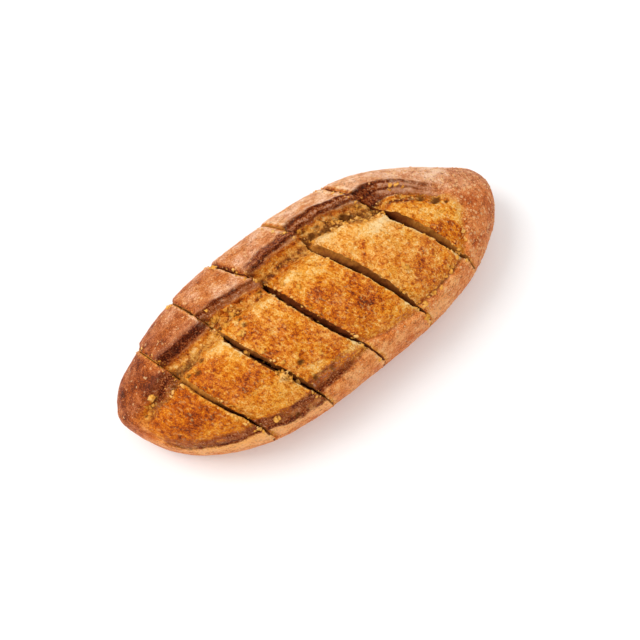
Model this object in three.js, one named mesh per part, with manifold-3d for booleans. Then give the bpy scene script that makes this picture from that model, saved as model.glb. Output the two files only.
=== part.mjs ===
import * as THREE from 'three';
import { mergeVertices } from 'three/addons/utils/BufferGeometryUtils.js';
import Module from 'manifold-3d';

// Garlic baguette: a short hand-shaped loaf that opened wide along one lengthwise score,
// then was cut across five times, slanting, nearly down to its bottom crust.
// Millimetres, +Z up. The flat base lies on z = 0, the length along X, the raised ear toward +Y.

// Whole loaf. FLAT_SHARE is the flat bottom's share of the width. A SECTION_POWER of 2 is an ellipse.
const LENGTH = 222;
const CROWN_HEIGHT = 56;
const WIDEST_HEIGHT = 23;
const FLAT_SHARE = 0.74;
const SECTION_POWER = 2.25;
const CROWN_POWER = 2.6;
const BOTTOM_POWER = 6;
const BOTTOM_REACH = 1.15;
const SWELL_HEIGHT = 0.5;

// Plan of the plain loaf from tip to tip: place along X, middle in Y, half width.
const PLAN = [
  [-111, 9.5, 0], [-108, 8, 8.6], [-100, 4.6, 20.4], [-90, 1.9, 28.2], [-80, 0.9, 34.1], [-65, 0.4, 40.9],
  [-50, -0.2, 44.6], [-30, -0.4, 46.6], [0, 0, 47.1], [25, 0.3, 46.6], [45, 0.1, 44.7], [60, -0.8, 40.9],
  [70, -2.3, 36.8], [80, -3.5, 31.5], [90, -4.6, 25.2], [100, -4.6, 18], [108, -3, 9.6], [111, -2.4, 0],
];

// Cuts across the loaf, left to right. `at` is where the cut crosses the centre line, `skew` its slant
// in plan, `lean` its slope in height, `gap` its widest opening, reached between `from` and `to` in Y.
const CUTS = [
  { at: -74.2, skew: 0.36, lean: -0.14, gap: 2.6, from: 3, to: -34 },
  { at: -43.8, skew: 0.37, lean: -0.20, gap: 3.0, from: 12, to: -38 },
  { at: -12.2, skew: 0.43, lean: -0.15, gap: 3.2, from: 14, to: -34 },
  { at: 20.4, skew: 0.40, lean: -0.08, gap: 3.4, from: 18, to: -38 },
  { at: 55.4, skew: 0.48, lean: -0.08, gap: 3.8, from: 6, to: -32 },
];
const CUT_FLOOR = 13;
const CUT_THIN = 1.1;
const CUT_EASE = 6;
const LEAN_LEVEL = 40;
const WAVER = 0.7;

// Slices, left to right. `ear` and `lip` are the far and near edge of the opened score as [station, Y],
// `rise` the ear's height, `valley` the depth below it, at `foot` from the ear, `plate` where the broad
// crumb plate begins. Each slice slid sideways by `shift`, turned by `turn` and stands higher by `lift`.
const SLICES = [
  {
    ear: [[-111, 5], [-100, 6], [-88, 8], [-74, 11]],
    lip: [[-111, 3], [-105, -5], [-101, -15], [-96, -23], [-89, -30], [-82, -35], [-74, -38]],
    rise: 1.8, valley: 2.8, foot: 7, plate: 12, shift: 0.1, turn: -0.6, lift: 0,
  },
  {
    ear: [[-74, 16], [-57, 16.5], [-44, 18]],
    lip: [[-74, -38], [-65, -41], [-57, -42], [-44, -42]],
    rise: 3.6, valley: 4.8, foot: 8.5, plate: 15, shift: 0.1, turn: -1.2, lift: -0.3,
  },
  {
    ear: [[-44, 23], [-27, 21], [-12, 19]],
    lip: [[-44, -40], [-28, -40], [-12, -39]],
    rise: 2.8, valley: 4.6, foot: 8.5, plate: 15, shift: 0, turn: 0.4, lift: 0.4,
  },
  {
    ear: [[-12, 23], [4, 25], [20, 26]],
    lip: [[-12, -36], [0, -39], [20, -39]],
    rise: 4.2, valley: 6.2, foot: 9.5, plate: 16, shift: 0.2, turn: -0.4, lift: 0.6,
  },
  {
    ear: [[20, 32], [38, 32], [48, 29], [55, 26]],
    lip: [[20, -38], [35, -36], [46, -33], [55, -30]],
    rise: 4.2, valley: 6.4, foot: 12, plate: 19, shift: 0.1, turn: -0.8, lift: 0.2,
  },
  {
    ear: [[55, 27.5], [63, 27], [69, 24.5], [74, 19], [78, 12], [84, 5]],
    lip: [[55, -30], [62, -27], [70, -21], [77, -15], [84, -10]],
    rise: 3.2, valley: 4.2, foot: 12, plate: 18, shift: 0, turn: 0.4, lift: -0.4,
  },
];
const EAR_BACK = 10;
const EAR_STEEP = 0.55;
const EAR_RAGGED = 0.6;
const PLATE_RISE = 1.8;
const GROOVE_DEPTH = 2;
const GROOVE_WIDTH = 2.6;
const LIP_RISE = 1.3;
const LIP_BACK = 7;
const LUMP_HEIGHT = 0.5;
const SHIFT_LEVELS = [12, 32];
const SLICE_REACH = 16;

// Stations where the score fades out toward each tip, and where the section's bands even out.
const SCORE_LEFT = [-108, -98];
const SCORE_RIGHT = [87, 77];
const EVEN_LEFT = [-111, -107];
const EVEN_RIGHT = [106, 86];
const CALM_ENDS = [70, 111];

// Fineness of the solid: stations along each slice, and steps of each band around a section.
const STATIONS = 18;
const TIP_EASE = 1.7;
const BAND_STEPS = [5, 3, 3, 3, 8, 1, 3, 4];
const SIDE_STEPS = 4;
const BASE_STEPS = 2;
const STEP_MARGIN = 0.25;
const SOLVE_PASSES = 12;

const TIP = LENGTH / 2;
const OVER_STEPS = BAND_STEPS.reduce((sum, count) => sum + count, 0);
const AROUND_STEPS = OVER_STEPS + 2 * SIDE_STEPS + BASE_STEPS;
const BOUNDS = [-TIP, ...CUTS.map((cut) => cut.at), TIP];
const SKEW_LINE = [[-TIP, 0], ...CUTS.map((cut) => [cut.at, cut.skew]), [TIP, 0]];
const LEAN_LINE = [[-TIP, 0], ...CUTS.map((cut) => [cut.at, cut.lean]), [TIP, 0]];

const clamp = THREE.MathUtils.clamp;

function smooth(from, to, v) {
  const t = clamp((v - from) / (to - from), 0, 1);
  return t * t * (3 - 2 * t);
}

// The leg of a list of points that holds the place u, as the number of the leg's end.
function legAt(points, u) {
  const found = points.findIndex((point) => point[0] > u);
  return found < 0 ? points.length - 1 : Math.max(found, 1);
}

function lineAt(points, u) {
  const k = legAt(points, u);
  const [u0, v0] = points[k - 1];
  const [u1, v1] = points[k];
  return v0 + (v1 - v0) * clamp((u - u0) / (u1 - u0), 0, 1);
}

// Smooth curve through one column of a list, with `shape` applied to each value first.
function curveAt(points, u, column, shape = (v) => v) {
  const k = legAt(points, u);
  const at = (n) => points[clamp(n, 0, points.length - 1)];
  const value = (n) => shape(at(n)[column]);
  const slope = (n) => (value(n + 1) - value(n - 1)) / (at(n + 1)[0] - at(n - 1)[0]);
  const span = at(k)[0] - at(k - 1)[0];
  const t = clamp((u - at(k - 1)[0]) / span, 0, 1);
  const rise = (value(k) - value(k - 1)) * t * t * (3 - 2 * t);
  const start = slope(k - 1) * span * t * (1 - t) ** 2;
  const end = slope(k) * span * t * t * (1 - t);
  return value(k - 1) + rise + start - end;
}

// How loose a point at u is from the calm, unsliced tips.
function loose(u) {
  return 1 - smooth(...CALM_ENDS, Math.abs(u));
}

// Where a point of station u lies along the loaf: stations run parallel to the nearest cut.
function stationX(u, y, z) {
  const waver = WAVER * Math.sin(y / 9 + u / 25) * loose(u);
  return u - lineAt(SKEW_LINE, u) * y + lineAt(LEAN_LINE, u) * (z - LEAN_LEVEL) + waver;
}

// Middle, half width, top and bottom of the plain loaf at x, before the score.
function bodyAt(x) {
  const share = Math.min(Math.abs(x) / TIP, 1);
  const crown = Math.sqrt(1 - share ** CROWN_POWER);
  const keel = Math.min(1, BOTTOM_REACH * Math.sqrt(1 - share ** BOTTOM_POWER));
  const swell = SWELL_HEIGHT * (Math.sin(x / 12) + Math.sin(x / 7 + 2)) * crown;
  return {
    half: Math.sqrt(Math.max(curveAt(PLAN, x, 2, (v) => v * v), 0)),
    middle: curveAt(PLAN, x, 1),
    top: WIDEST_HEIGHT + (CROWN_HEIGHT - WIDEST_HEIGHT) * crown + swell,
    low: WIDEST_HEIGHT * (1 - keel),
  };
}

// How fully the score is open at station u: it fades out toward both tips.
function scored(u) {
  return smooth(...SCORE_LEFT, u) * smooth(...SCORE_RIGHT, u);
}

// The score's lines at station u, as Y: ear, foot, start of the plate, lip.
function scoreLines(slice, u) {
  const ragged = EAR_RAGGED * (Math.sin(u / 1.9) + Math.sin(u / 4.7 + 1)) * scored(u);
  const ear = lineAt(slice.ear, u) + ragged;
  const lip = lineAt(slice.lip, u);
  const scale = Math.min(1, (ear - lip) / (2 * slice.plate));
  return { ear, foot: ear - slice.foot * scale, plate: ear - slice.plate * scale, lip };
}

// Uneven swell of the torn crumb.
function lump(u, y) {
  const long = Math.sin(u / 3.1 + 2 * Math.sin(y / 6.3)) * Math.sin(y / 4.2 + 1.7 * Math.sin(u / 8.1));
  const short = Math.sin(u / 1.7 + y / 2.9) * Math.sin(y / 2.3 - u / 5.2);
  return LUMP_HEIGHT * (long + 0.5 * short);
}

// Height added to the plain loaf by the opened score: ear, valley, plate, groove and lip.
function relief(slice, u, y) {
  const { ear, foot, plate, lip } = scoreLines(slice, u);
  let height = 0;
  if (y > ear) {
    height = slice.rise * Math.max(0, 1 - (y - ear) / EAR_BACK) ** 2;
  } else if (y > foot) {
    const fall = smooth(0, 1, ((ear - y) / (ear - foot)) ** EAR_STEEP);
    height = slice.rise - (slice.rise + slice.valley) * fall;
  } else if (y > plate) {
    height = -slice.valley * smooth(plate, foot, y);
  } else if (y > lip) {
    height = PLATE_RISE * Math.sin((Math.PI * (plate - y)) / (plate - lip));
  }
  const past = lip - y;
  const groove = GROOVE_DEPTH * Math.max(0, 1 - Math.abs(past) / GROOVE_WIDTH);
  const ridge = LIP_RISE * smooth(0, GROOVE_WIDTH, past) * smooth(LIP_BACK, GROOVE_WIDTH, past);
  const torn = smooth(ear + 2, ear - 4, y) * smooth(lip - 2, lip + 4, y);
  return (height - groove + ridge + torn * lump(u, y)) * scored(u);
}

// Angle around the section at which each band ends: bands follow the score and even out at the tips.
function bandAngles(slice, body, u) {
  const { ear, foot, plate, lip } = scoreLines(slice, u);
  const edges = [ear + EAR_BACK, ear, foot, plate, lip + GROOVE_WIDTH, lip, lip - LIP_BACK];
  const follow = smooth(...EVEN_LEFT, u) * smooth(...EVEN_RIGHT, u);
  const angles = [0];
  let counted = 0;
  edges.forEach((edge, k) => {
    counted += BAND_STEPS[k];
    const even = (Math.PI * counted) / OVER_STEPS;
    const q = clamp((edge - body.middle) / Math.max(body.half, 0.1), -0.97, 0.97);
    const angle = Math.acos(Math.sign(q) * Math.abs(q) ** (SECTION_POWER / 2));
    angles.push(Math.max(even + (angle - even) * follow, angles[k] + 0.02));
  });
  return [...angles, Math.PI];
}

// A point over the top of the loaf, from the far side (step 0) to the near side (OVER_STEPS).
function overPoint(slice, body, u, step) {
  const angles = bandAngles(slice, body, u);
  let band = 0;
  let left = step;
  while (left > BAND_STEPS[band]) {
    left -= BAND_STEPS[band];
    band += 1;
  }
  const angle = angles[band] + ((angles[band + 1] - angles[band]) * left) / BAND_STEPS[band];
  const across = Math.cos(angle);
  const up = Math.max(Math.sin(angle), 0);
  const y = body.middle + body.half * Math.sign(across) * Math.abs(across) ** (2 / SECTION_POWER);
  const plain = WIDEST_HEIGHT + (body.top - WIDEST_HEIGHT) * up ** (2 / SECTION_POWER);
  return [y, plain + relief(slice, u, y) * smooth(0, 0.25, up)];
}

// A point below the widest line: down the near side, across the flat base, up the far side.
function underPoint(body, under) {
  const flat = under - SIDE_STEPS;
  const rest = SIDE_STEPS + BASE_STEPS - flat;
  const turn = (Math.PI / 2) * clamp(Math.min(under, rest) / SIDE_STEPS, 0, 1);
  const across = clamp((2 * flat) / BASE_STEPS - 1, -1, 1);
  const narrow = 1 - (1 - FLAT_SHARE) * (1 - Math.cos(turn));
  const z = body.low + (WIDEST_HEIGHT - body.low) * (1 - Math.sin(turn));
  return [body.middle + body.half * narrow * across, z];
}

// A point of the skin. Its station's x depends on its y and z, so it is found in a few passes.
function skinPoint(slice, u, step) {
  let x = u;
  let y = 0;
  let z = 0;
  for (let pass = 0; pass < SOLVE_PASSES; pass += 1) {
    const body = bodyAt(clamp(x, -TIP, TIP));
    [y, z] = step <= OVER_STEPS ? overPoint(slice, body, u, step) : underPoint(body, step - OVER_STEPS);
    const free = smooth(...SHIFT_LEVELS, z) * loose(x);
    y += (slice.shift + (slice.turn * (u - slice.centre)) / SLICE_REACH) * free;
    z += slice.lift * free;
    x = stationX(u, y, z);
  }
  return [x, y, z];
}

// All stations from tip to tip, each with the slice it belongs to.
function stationList() {
  const list = [];
  SLICES.forEach((slice, k) => {
    slice.centre = (BOUNDS[k] + BOUNDS[k + 1]) / 2;
    const first = k === 0;
    const last = k === SLICES.length - 1;
    const start = BOUNDS[k] + (first ? 0 : STEP_MARGIN);
    const end = BOUNDS[k + 1] - (last ? 0 : STEP_MARGIN);
    for (let i = 0; i <= STATIONS; i += 1) {
      let t = i / STATIONS;
      if (first) t **= TIP_EASE;
      if (last) t = 1 - (1 - t) ** TIP_EASE;
      list.push({ slice, u: start + (end - start) * t });
    }
  });
  return list;
}

// The uncut loaf: rings of a ball, drawn out so that each ring is one station.
function loafGeometry() {
  const stations = stationList();
  const geometry = new THREE.SphereGeometry(1, AROUND_STEPS, stations.length - 1);
  const position = geometry.attributes.position;
  stations.forEach(({ slice, u }, row) => {
    for (let step = 0; step <= AROUND_STEPS; step += 1) {
      const point = skinPoint(slice, u, (AROUND_STEPS - step) % AROUND_STEPS);
      position.setXYZ(row * (AROUND_STEPS + 1) + step, ...point);
    }
  });
  return geometry;
}

// One cut: a thin upright sheet along its station line, wide over the plate and closed at the sides.
function cutGeometry(cut) {
  const reach = 130;
  const tall = 80 - CUT_FLOOR;
  const geometry = new THREE.BoxGeometry(1, reach, tall, 1, 20, 3);
  geometry.translate(0, 0, CUT_FLOOR + tall / 2);
  const position = geometry.attributes.position;
  for (let i = 0; i < position.count; i += 1) {
    const y = position.getY(i);
    const z = position.getZ(i);
    const far = smooth(cut.from + CUT_EASE, cut.from - CUT_EASE, y);
    const near = smooth(cut.to - CUT_EASE, cut.to + CUT_EASE, y);
    const high = clamp((z - CUT_FLOOR) / (CROWN_HEIGHT - CUT_FLOOR), 0, 1);
    const wide = CUT_THIN + (cut.gap - CUT_THIN) * far * near * high;
    position.setX(i, stationX(cut.at, y, z) + position.getX(i) * wide);
  }
  return geometry;
}

const wasm = await Module();
wasm.setup();

function toSolid(geometry) {
  geometry.deleteAttribute('normal');
  geometry.deleteAttribute('uv');
  const merged = mergeVertices(geometry);
  return new wasm.Manifold(new wasm.Mesh({
    numProp: 3,
    vertProperties: merged.attributes.position.array,
    triVerts: new Uint32Array(merged.index.array),
  }));
}

let loaf = toSolid(loafGeometry());
CUTS.forEach((cut) => {
  loaf = loaf.subtract(toSolid(cutGeometry(cut)));
});
const skin = loaf.getMesh();
const geometry = new THREE.BufferGeometry();
geometry.setAttribute('position', new THREE.BufferAttribute(skin.vertProperties, skin.numProp));
geometry.setIndex(new THREE.BufferAttribute(skin.triVerts, 1));

const crust = new THREE.MeshStandardMaterial({ color: '#b9743a', roughness: 0.8, metalness: 0 });
const baguette = new THREE.Mesh(geometry, crust);
baguette.name = 'baguette';

const group = new THREE.Group();
group.name = 'garlic_baguette';
group.add(baguette);

export default group;
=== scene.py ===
import math
from functools import partial
import bpy
import numpy as np
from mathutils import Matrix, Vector, noise
from mathutils.bvhtree import BVHTree


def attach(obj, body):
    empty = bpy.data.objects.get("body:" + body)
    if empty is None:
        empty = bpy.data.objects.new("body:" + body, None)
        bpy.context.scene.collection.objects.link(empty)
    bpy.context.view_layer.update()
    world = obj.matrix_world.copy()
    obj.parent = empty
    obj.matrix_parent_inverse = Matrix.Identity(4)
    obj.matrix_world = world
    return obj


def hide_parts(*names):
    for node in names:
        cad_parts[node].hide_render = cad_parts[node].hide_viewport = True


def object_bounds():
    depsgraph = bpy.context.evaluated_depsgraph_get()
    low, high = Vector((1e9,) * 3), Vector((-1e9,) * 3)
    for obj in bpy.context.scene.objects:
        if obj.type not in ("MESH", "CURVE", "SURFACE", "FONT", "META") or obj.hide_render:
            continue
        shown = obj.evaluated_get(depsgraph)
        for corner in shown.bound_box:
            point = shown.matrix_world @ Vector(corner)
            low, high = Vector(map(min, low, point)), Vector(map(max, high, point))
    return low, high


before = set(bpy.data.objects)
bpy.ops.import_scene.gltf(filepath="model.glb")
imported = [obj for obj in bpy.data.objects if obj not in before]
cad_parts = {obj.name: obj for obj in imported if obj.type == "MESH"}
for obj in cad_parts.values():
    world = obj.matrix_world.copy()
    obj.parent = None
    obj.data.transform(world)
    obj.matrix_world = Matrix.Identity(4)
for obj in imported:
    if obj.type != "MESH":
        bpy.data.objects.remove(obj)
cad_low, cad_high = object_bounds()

# ---------------------------------------------------------------------------------------------
# Loaf. A short loaf of lean wheat dough, shaped by hand, scored once along its length and baked
# on its flat base. The score opened in the oven: its far edge rose into an ear, the crumb beside
# it tore into a valley, and the rest swelled into one broad golden plate with a lip on the near side.

MM = 0.001  # the sizes here are in millimetres
TIP = 111.0  # half the loaf's length
CROWN_HEIGHT = 56.0
WIDEST_HEIGHT = 23.0
FLAT_SHARE = 0.74  # width of the flat base in parts of the loaf's
SECTION_POWER = 2.25  # fullness of a section: 2 is an ellipse
PLAN = np.array([  # place along X, middle in Y, half width
    (-111, 9.5, 0), (-108, 8, 8.6), (-100, 4.6, 20.4), (-90, 1.9, 28.2), (-80, 0.9, 34.1), (-65, 0.4, 40.9),
    (-50, -0.2, 44.6), (-30, -0.4, 46.6), (0, 0, 47.1), (25, 0.3, 46.6), (45, 0.1, 44.7), (60, -0.8, 40.9),
    (70, -2.3, 36.8), (80, -3.5, 31.5), (90, -4.6, 25.2), (100, -4.6, 18), (108, -3, 9.6), (111, -2.4, 0)])
CUT_AT = np.array([-74.2, -43.8, -12.2, 20.4, 55.4])  # station of each cut
CUT_SKEW = [0.36, 0.37, 0.43, 0.40, 0.48]  # how far it moves along the loaf for each millimetre across
CUT_LEAN = [-0.14, -0.20, -0.15, -0.08, -0.08]  # and for each millimetre up
LEAN_LEVEL = 40.0  # height at which the stations of the cuts are given
BEND_AT = [-38, -30, -22, -14, -6, 2, 10, 18, 26]
CUT_BEND = [  # how far each cut bows along the loaf, at those places in Y
    [0.8, 0.1, -1.9, -2.2, -1.9, -1, 0, 0, 0], [0, -0.4, -1.2, -1.1, -0.7, -0.3, 0, 0, 0],
    [-1, -1.3, -1.1, -0.7, 0.1, 0.5, 0.6, 1.2, 0], [0, 0.8, 0.7, 0.2, -0.5, -1.7, -2.3, -1.8, 0],
    [0.3, 0.7, 0.8, 0.5, 0.2, 0.2, 1.2, 2.2, 1.6]]
EARS = [  # far edge of the score on each slice: station, Y
    [(-111, 5), (-100, 6), (-88, 8), (-74, 11)],
    [(-74, 16), (-57, 16.5), (-44, 18)],
    [(-44, 23), (-27, 21), (-12, 19)],
    [(-12, 23), (4, 25), (20, 26)],
    [(20, 32), (38, 32), (48, 29), (55, 26)],
    [(55, 27.5), (63, 27), (69, 24.5), (74, 19), (78, 12), (84, 5)]]
LIPS = [  # near edge of the score on each slice: station, Y
    [(-111, 3), (-105, -5), (-101, -15), (-96, -23), (-89, -30), (-82, -35), (-74, -38)],
    [(-74, -38), (-65, -41), (-57, -42), (-44, -42)], [(-44, -40), (-28, -40), (-12, -39)],
    [(-12, -36), (0, -39), (20, -39)], [(20, -38), (35, -36), (46, -33), (55, -30)],
    [(55, -30), (62, -27), (70, -21), (77, -15), (84, -10)]]
EAR_RISE = np.array([1.8, 3.6, 2.8, 4.2, 4.2, 3.2])  # height of the ear on each slice
VALLEY = np.array([2.8, 4.8, 4.6, 6.2, 6.4, 4.2])  # depth of the valley
FOOT = np.array([7, 8.5, 8.5, 9.5, 12, 12])  # from the ear to the bottom of its face
PLATE = np.array([12, 15, 15, 16, 19, 18])  # from the ear to the start of the plate
SHIFT = np.array([0.1, 0.1, 0.0, 0.2, 0.1, 0.0])  # how far each slice slid across
TURN = np.array([-0.6, -1.2, 0.4, -0.4, -0.8, 0.4])  # how far its end slid more, as it turned
LIFT = np.array([0.0, -0.3, 0.4, 0.6, 0.2, -0.4])  # how far it rose
BOUNDS = np.array([-TIP, *CUT_AT, TIP])
EAR_BACK = 10.0  # how far the ear slopes down behind its edge
SLICE_HALF = 16  # half a slice's length, at which TURN is reached
FREE_LEVELS = (12, 32)  # between these heights the slices come free of the base
GROOVE_WIDTH = 2.6
LIP_BACK = 7.0  # how far from the lip the ridge beyond its groove ends


def smooth(start, end, value):
    t = np.clip((value - start) / (end - start), 0, 1)
    return t * t * (3 - 2 * t)


def value_at(table, places):
    """Values at these places, from a table of places and values."""
    return np.interp(places, *zip(*table))


def plan_curve(x, column, power):
    """Smooth curve through one column of the plan, raised to a power first."""
    places, values = PLAN[:, 0], PLAN[:, column] ** power
    ends = np.clip(np.arange(len(values))[:, None] + (-1, 1), 0, len(values) - 1)
    slopes = (values[ends[:, 1]] - values[ends[:, 0]]) / (places[ends[:, 1]] - places[ends[:, 0]])
    k = np.clip(np.searchsorted(places, x, side="right"), 1, len(places) - 1)
    span = places[k] - places[k - 1]
    t = np.clip((x - places[k - 1]) / span, 0, 1)
    rise = (values[k] - values[k - 1]) * t * t * (3 - 2 * t)
    return values[k - 1] + rise + slopes[k - 1] * span * t * (1 - t) ** 2 - slopes[k] * span * t * t * (1 - t)


def plain_body(x):
    """Middle, half width, top and bottom of the loaf before its score opened."""
    share = np.minimum(np.abs(x) / TIP, 1)
    crown = np.sqrt(1 - share ** 2.6)
    keel = np.minimum(1, 1.15 * np.sqrt(1 - share ** 6))
    half = np.sqrt(np.maximum(plan_curve(x, 2, 2), 0))
    swell = 0.5 * (np.sin(x / 12) + np.sin(x / 7 + 2)) * crown
    top = WIDEST_HEIGHT + (CROWN_HEIGHT - WIDEST_HEIGHT) * crown + swell
    return plan_curve(x, 1, 1), half, top, WIDEST_HEIGHT * (1 - keel)


def loose(u):
    return 1 - smooth(70, TIP, np.abs(u))


def station_x(u, y, z):
    """Where a point of station u lies along the loaf: stations run parallel to the nearest cut."""
    skew = np.interp(u, [-TIP, *CUT_AT, TIP], [0, *CUT_SKEW, 0])
    lean = np.interp(u, [-TIP, *CUT_AT, TIP], [0, *CUT_LEAN, 0])
    bend = 0.7 * np.sin(y / 9 + u / 25) * loose(u)
    for cut, bow in zip(CUT_AT, CUT_BEND):
        bend = bend + np.interp(y, BEND_AT, bow) * np.maximum(0, 1 - np.abs(u - cut) / 30)
    return u - skew * y + lean * (z - LEAN_LEVEL) + bend


def scored(u):
    return smooth(-108, -98, u) * smooth(87, 77, u)


def slid(u, part):
    """How far each slice slid and turned across the loaf when it was cut."""
    centre = (BOUNDS[part] + BOUNDS[part + 1]) / 2
    return SHIFT[part] + TURN[part] * (u - centre) / SLICE_HALF


def score_lines(u, part):
    """Y of the ear, its foot, the start of the plate and the lip, at station u of a slice."""
    ear, lip = np.zeros(u.shape), np.zeros(u.shape)
    for k in range(6):
        mine = part == k
        ear[mine] = value_at(EARS[k], u[mine])
        lip[mine] = value_at(LIPS[k], u[mine])
    ear += 0.25 * (np.sin(u / 1.9) + np.sin(u / 4.7 + 1)) * scored(u)
    scale = np.minimum(1, (ear - lip) / (2 * PLATE[part]))
    return ear, ear - FOOT[part] * scale, ear - PLATE[part] * scale, lip


def relief(u, y, part):
    """Height that the opened score adds: ear, valley, plate, groove and lip."""
    ear, foot, plate, lip = score_lines(u, part)
    rise, valley = EAR_RISE[part], VALLEY[part]
    back = rise * np.maximum(0, 1 - (y - ear) / EAR_BACK) ** 2
    fall = smooth(0, 1, np.clip((ear - y) / (ear - foot), 0, 1) ** 0.55)
    face = rise - (rise + valley) * fall
    slope = -valley * smooth(plate, foot, y)
    dome = 1.8 * np.sin(np.pi * np.clip((plate - y) / (plate - lip), 0, 1))
    height = np.select([y > ear, y > foot, y > plate, y > lip], [back, face, slope, dome], 0)
    past = lip - y
    groove = 2 * np.maximum(0, 1 - np.abs(past) / GROOVE_WIDTH) * smooth(78, 58, u)
    ridge = 1.3 * smooth(0, GROOVE_WIDTH, past) * smooth(LIP_BACK, GROOVE_WIDTH, past)
    torn = smooth(ear + 2, ear - 4, y) * smooth(lip - 2, lip + 4, y)
    lump = np.sin(u / 3.1 + 2 * np.sin(y / 6.3)) * np.sin(y / 4.2 + 1.7 * np.sin(u / 8.1))
    lump += 0.5 * np.sin(u / 1.7 + y / 2.9) * np.sin(y / 2.3 - u / 5.2)
    return (height - groove + ridge * smooth(82, 62, u) + 0.5 * torn * lump) * scored(u)


# Steps around a section, band by band: far side, ear's back, ear's face, valley, plate, groove, lip,
# near side, then the near flank, the base and the far flank. Rows of stations, slice by slice.
OVER = np.array([34, 16, 17, 13, 64, 4, 11, 26])
FLANK, BASE = 11, 10
ROWS = [50, 44, 45, 46, 50, 72]
ROW_GAP = 0.25  # room that the rows leave on each side of a cut
END_CROWDING = 1.7  # power that crowds the rows toward the loaf's two tips
STATION_PASSES, STATION_STEP = 40, 0.7
AROUND = OVER.sum() + 2 * FLANK + BASE


def skin_points(u, part, step):
    """Points of the smooth skin. A station's x depends on y and z, so it is found in a few passes."""
    follow = smooth(-111, -107, u) * smooth(106, 86, u)
    ear, foot, plate, lip = score_lines(u, part)
    edges = [ear + EAR_BACK, ear, foot, plate, lip + GROOVE_WIDTH, lip, lip - LIP_BACK]
    counts = np.cumsum(OVER)
    x = u.copy()
    for _ in range(12):
        middle, half, top, low = plain_body(np.clip(x, -TIP, TIP))
        angles = [np.zeros(u.shape)]
        for k, edge in enumerate(edges):
            even = np.pi * counts[k] / counts[-1]
            q = np.clip((edge - middle) / np.maximum(half, 0.1), -0.97, 0.97)
            angle = np.arccos(np.sign(q) * np.abs(q) ** (SECTION_POWER / 2))
            angles.append(np.maximum(even + (angle - even) * follow, angles[k] + 0.02))
        angles = np.array([*angles, np.full(u.shape, np.pi)])
        band = np.minimum(np.searchsorted(counts, step, side="left"), len(OVER) - 1)
        done = (step - (counts - OVER)[band]) / OVER[band]
        here = np.arange(len(u))
        angle = angles[band, here] + (angles[band + 1, here] - angles[band, here]) * done
        across, up = np.cos(angle), np.maximum(np.sin(angle), 0)
        y_over = middle + half * np.sign(across) * np.abs(across) ** (2 / SECTION_POWER)
        z_over = WIDEST_HEIGHT + (top - WIDEST_HEIGHT) * up ** (2 / SECTION_POWER)
        z_over += relief(u, y_over, part) * smooth(0, 0.25, up)
        under = step - counts[-1]
        flat = under - FLANK
        turn = np.pi / 2 * np.clip(np.minimum(under, FLANK + BASE - flat) / FLANK, 0, 1)
        narrow = 1 - (1 - FLAT_SHARE) * (1 - np.cos(turn))
        y_under = middle + half * narrow * np.clip(2 * flat / BASE - 1, -1, 1)
        z_under = low + (WIDEST_HEIGHT - low) * (1 - np.sin(turn))
        y = np.where(under > 0, y_under, y_over)
        z = np.where(under > 0, z_under, z_over)
        free = smooth(*FREE_LEVELS, z) * loose(x)
        y = y + slid(u, part) * free
        z = z + LIFT[part] * free
        x = station_x(u, y, z)
    return np.stack([x, y, z], 1)


def slice_of(u):
    return np.searchsorted(CUT_AT, u)


def station_of(points):
    """The station on which each point lies, found from its place."""
    x, y, z = points.T
    u = x.copy()
    for _ in range(STATION_PASSES):
        u = u + STATION_STEP * (x - station_x(u, y, z))
    return np.clip(u, -TIP, TIP)


def field(points, size, seed=0):
    """Smooth noise with features of about `size` millimetres."""
    shift = Vector((seed * 17.3, seed * 7.1, seed * 3.7))
    return np.array([noise.noise(Vector(p) / size + shift) for p in points])


def read(items, name, width=3):
    """One property of all vertices or faces of a mesh, as rows of numbers."""
    flat = np.empty(len(items) * width, np.float32)
    items.foreach_get(name, flat)
    return flat.reshape(-1, width).astype(float)


def get_points(mesh):
    return read(mesh.vertices, "co")


def set_points(mesh, points):
    mesh.vertices.foreach_set("co", points.astype(np.float32).ravel())
    mesh.update()


def edit_whole(operator, **settings):
    """Runs one edit operator on the whole of the active mesh."""
    bpy.ops.object.mode_set(mode="EDIT")
    bpy.ops.mesh.select_all(action="SELECT")
    operator(**settings)
    bpy.ops.object.mode_set(mode="OBJECT")


def inside_box(points):
    """Keeps points within the bounding box of the solid."""
    return np.clip(points, np.array(cad_low) / MM, np.array(cad_high) / MM)


def blank_material(name):
    material = bpy.data.materials.new(name)
    material.use_nodes = True
    material.node_tree.nodes.clear()
    return material


def only(thing):
    """Selects one object alone and makes it the one that operators act on."""
    bpy.ops.object.select_all(action="DESELECT")
    thing.select_set(True)
    bpy.context.view_layer.objects.active = thing


rows_u, rows_part = [], []
for k, count in enumerate(ROWS):
    t = np.linspace(0, 1, count + 1)
    t = t ** END_CROWDING if k == 0 else 1 - (1 - t) ** END_CROWDING if k == 5 else t
    start = BOUNDS[k] + (ROW_GAP if k > 0 else 0)
    end = BOUNDS[k + 1] - (ROW_GAP if k < 5 else 0)
    rows_u.extend(start + (end - start) * t)
    rows_part.extend([k] * (count + 1))
rows_u, rows_part = np.array(rows_u), np.array(rows_part)
rings = len(rows_u) - 1

bpy.ops.object.select_all(action="DESELECT")
bpy.ops.mesh.primitive_uv_sphere_add(segments=int(AROUND), ring_count=rings, radius=1)
loaf = bpy.context.object
loaf.name = loaf.data.name = "loaf"
ball = get_points(loaf.data)
row = np.rint(np.arccos(np.clip(ball[:, 2], -1, 1)) / np.pi * rings).astype(int)
step = np.rint(np.arctan2(ball[:, 1], ball[:, 0]) / (2 * np.pi) * AROUND).astype(int) % AROUND
skin = skin_points(rows_u[row], rows_part[row], step)
set_points(loaf.data, skin)
only(loaf)
edit_whole(bpy.ops.mesh.normals_make_consistent, inside=False)

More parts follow.
